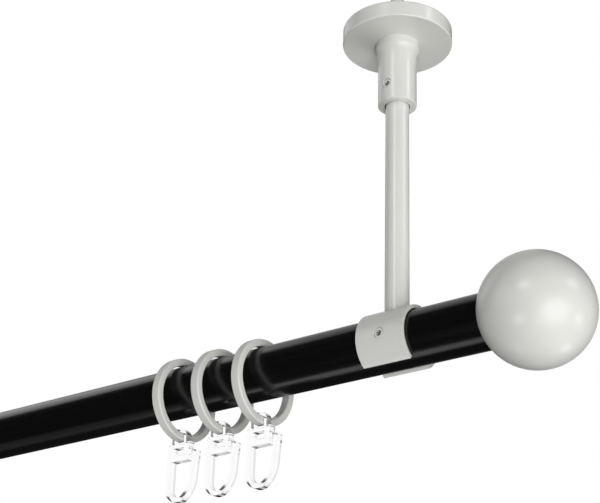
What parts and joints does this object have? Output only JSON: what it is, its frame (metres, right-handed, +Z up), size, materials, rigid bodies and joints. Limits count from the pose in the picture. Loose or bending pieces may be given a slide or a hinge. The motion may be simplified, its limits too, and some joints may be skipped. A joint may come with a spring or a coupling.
{
  "type": "curtain rod with brackets",
  "caption": "Ceiling-hung curtain rod: black tube in C-shaped clips under round flanged brackets, ball finials, and sliding band rings with clear swinging hooks.",
  "frame": {"origin": "on the ceiling plane, midway between the two brackets", "axes": "+X along the rod, +Y away from the room, +Z up into the ceiling"},
  "size_m": [0.867, 0.0426, 0.2084],
  "materials": {
    "bracket_white": "satin off-white lacquer",
    "rod_black": "semi-gloss black lacquer",
    "ball_white": "satin-gloss off-white lacquer",
    "ring_white": "satin off-white",
    "hook_clear": "clear moulded",
    "plug_plastic": "moulded, fine grain",
    "screw_steel": "zinc-plated"
  },
  "bodies": {
    "rod_and_brackets": {"rod_tube": "rod_black", "ceiling_flange_left": "bracket_white", "hanger_bolt_left": "screw_steel", "stem_left": "bracket_white", "rod_clip_left": "bracket_white", "clip_screw_left": "screw_steel", "neck_grub_screw_left": "screw_steel", "clip_grub_screw_left": "screw_steel", "ceiling_flange_right": "bracket_white", "hanger_bolt_right": "screw_steel", "stem_right": "bracket_white", "rod_clip_right": "bracket_white", "clip_screw_right": "screw_steel", "neck_grub_screw_right": "screw_steel", "clip_grub_screw_right": "screw_steel"},
    "finial_left": {"finial_ball_left": "ball_white", "finial_plug_left": "plug_plastic"},
    "finial_right": {"finial_ball_right": "ball_white", "finial_plug_right": "plug_plastic"},
    "ring_1": {"ring_1": "ring_white"},
    "hook_1": {"hook_1": "hook_clear"},
    "ring_2": {"ring_2": "ring_white"},
    "hook_2": {"hook_2": "hook_clear"},
    "ring_3": {"ring_3": "ring_white"},
    "hook_3": {"hook_3": "hook_clear"},
    "ring_4": {"ring_4": "ring_white"},
    "hook_4": {"hook_4": "hook_clear"},
    "ring_5": {"ring_5": "ring_white"},
    "hook_5": {"hook_5": "hook_clear"},
    "ring_6": {"ring_6": "ring_white"},
    "hook_6": {"hook_6": "hook_clear"}
  },
  "joints": [
    {"name": "finial_left_pull", "type": "slide", "parent": "rod_and_brackets", "child": "finial_left", "axis": [-1, 0, 0], "range_m": [0, 0.022]},
    {"name": "finial_right_pull", "type": "slide", "parent": "rod_and_brackets", "child": "finial_right", "axis": [1, 0, 0], "range_m": [0, 0.022]},
    {"name": "ring_1_slide", "type": "slide", "parent": "rod_and_brackets", "child": "ring_1", "axis": [1, 0, 0], "range_m": [-0.048, 0.0045]},
    {"name": "hook_1_swing", "type": "hinge", "parent": "ring_1", "child": "hook_1", "pos_m": [-0.2972, 0, -0.1336], "axis": [1, 0, 0], "range_deg": [-90, 90]},
    {"name": "ring_2_slide", "type": "slide", "parent": "rod_and_brackets", "child": "ring_2", "axis": [1, 0, 0], "range_m": [-0.0045, 0.0045]},
    {"name": "hook_2_swing", "type": "hinge", "parent": "ring_2", "child": "hook_2", "pos_m": [-0.2772, 0, -0.1336], "axis": [1, 0, 0], "range_deg": [-90, 90]},
    {"name": "ring_3_slide", "type": "slide", "parent": "rod_and_brackets", "child": "ring_3", "axis": [1, 0, 0], "range_m": [-0.0045, 0.25]},
    {"name": "hook_3_swing", "type": "hinge", "parent": "ring_3", "child": "hook_3", "pos_m": [-0.2572, 0, -0.1336], "axis": [1, 0, 0], "range_deg": [-90, 90]},
    {"name": "ring_4_slide", "type": "slide", "parent": "rod_and_brackets", "child": "ring_4", "axis": [1, 0, 0], "range_m": [-0.0045, 0.048]},
    {"name": "hook_4_swing", "type": "hinge", "parent": "ring_4", "child": "hook_4", "pos_m": [0.2972, 0, -0.1336], "axis": [1, 0, 0], "range_deg": [-90, 90]},
    {"name": "ring_5_slide", "type": "slide", "parent": "rod_and_brackets", "child": "ring_5", "axis": [1, 0, 0], "range_m": [-0.0045, 0.0045]},
    {"name": "hook_5_swing", "type": "hinge", "parent": "ring_5", "child": "hook_5", "pos_m": [0.2772, 0, -0.1336], "axis": [1, 0, 0], "range_deg": [-90, 90]},
    {"name": "ring_6_slide", "type": "slide", "parent": "rod_and_brackets", "child": "ring_6", "axis": [1, 0, 0], "range_m": [-0.25, 0.0045]},
    {"name": "hook_6_swing", "type": "hinge", "parent": "ring_6", "child": "hook_6", "pos_m": [0.2572, 0, -0.1336], "axis": [1, 0, 0], "range_deg": [-90, 90]}
  ]
}
